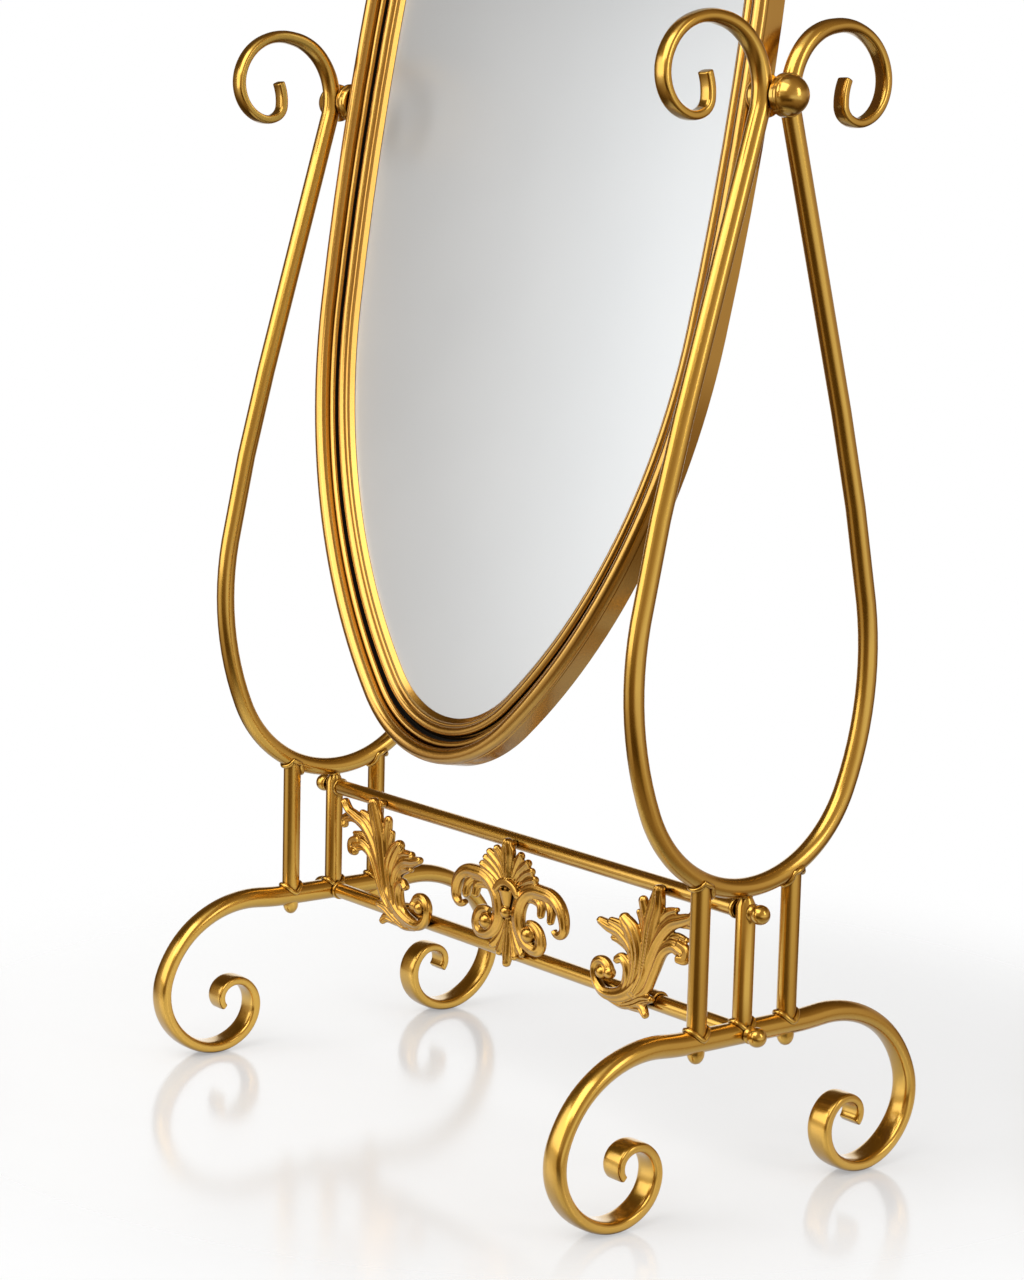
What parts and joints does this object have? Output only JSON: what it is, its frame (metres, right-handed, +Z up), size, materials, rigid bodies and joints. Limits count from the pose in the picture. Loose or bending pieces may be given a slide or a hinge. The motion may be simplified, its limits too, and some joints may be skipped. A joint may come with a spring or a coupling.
{
  "type": "floor mirror",
  "caption": "Oval mirror that tilts on two pivots between scrolled tube side frames with forged floor feet, crossbars and cast leaf ornaments.",
  "frame": {"origin": "on the floor, below the middle of the bounding box", "axes": "+Z up, the mirror faces -Y, +X to the right seen from the front"},
  "size_m": [0.7068, 0.4314, 1.5565],
  "materials": {
    "satin_brass": "satin polished",
    "cast_brass": "cast, brushed bright on the high spots",
    "rim_brass": "bright polished moulding",
    "steel": "zinc plated",
    "fibre": "dark friction fibre",
    "mirror_glass": "silvered glass",
    "board": "plain hardboard"
  },
  "bodies": {
    "stand": {"left_loop": "satin_brass", "right_loop": "satin_brass", "left_front_scroll": "satin_brass", "left_rear_scroll": "satin_brass", "right_front_scroll": "satin_brass", "right_rear_scroll": "satin_brass", "left_foot_rail": "satin_brass", "right_foot_rail": "satin_brass", "left_front_post": "satin_brass", "left_middle_post": "satin_brass", "left_rear_post": "satin_brass", "right_front_post": "satin_brass", "right_middle_post": "satin_brass", "right_rear_post": "satin_brass", "post_collars": "satin_brass", "post_foot_bolts": "satin_brass", "upper_crossbar": "satin_brass", "lower_crossbar": "satin_brass", "crossbar_collars": "satin_brass", "crossbar_studs": "steel", "crossbar_ball_nuts": "satin_brass", "left_leaf": "cast_brass", "palmette": "cast_brass", "right_leaf": "cast_brass", "left_pivot_bush": "satin_brass", "right_pivot_bush": "satin_brass", "pivot_washers": "fibre"},
    "mirror": {"oval_rim": "rim_brass", "inner_bead": "rim_brass", "mirror_glass": "mirror_glass", "back_board": "board", "back_clips": "steel", "back_screws": "steel", "left_pivot_boss": "satin_brass", "right_pivot_boss": "satin_brass", "left_pivot_stud": "steel", "right_pivot_stud": "steel", "left_inner_spacer": "satin_brass", "right_inner_spacer": "satin_brass", "left_knob_collar": "satin_brass", "right_knob_collar": "satin_brass"},
    "left_knob": {"left_ball_knob": "satin_brass"},
    "right_knob": {"right_ball_knob": "satin_brass"}
  },
  "joints": [
    {"name": "mirror_tilt", "type": "hinge", "parent": "stand", "child": "mirror", "pos_m": [0, 0, 0.97], "axis": [1, 0, 0], "continuous": true},
    {"name": "left_knob_turn", "type": "hinge", "parent": "mirror", "child": "left_knob", "pos_m": [-0.34, 0, 0.97], "axis": [-1, 0, 0], "range_deg": [0, 360]},
    {"name": "right_knob_turn", "type": "hinge", "parent": "mirror", "child": "right_knob", "pos_m": [0.34, 0, 0.97], "axis": [1, 0, 0], "range_deg": [0, 360]}
  ]
}
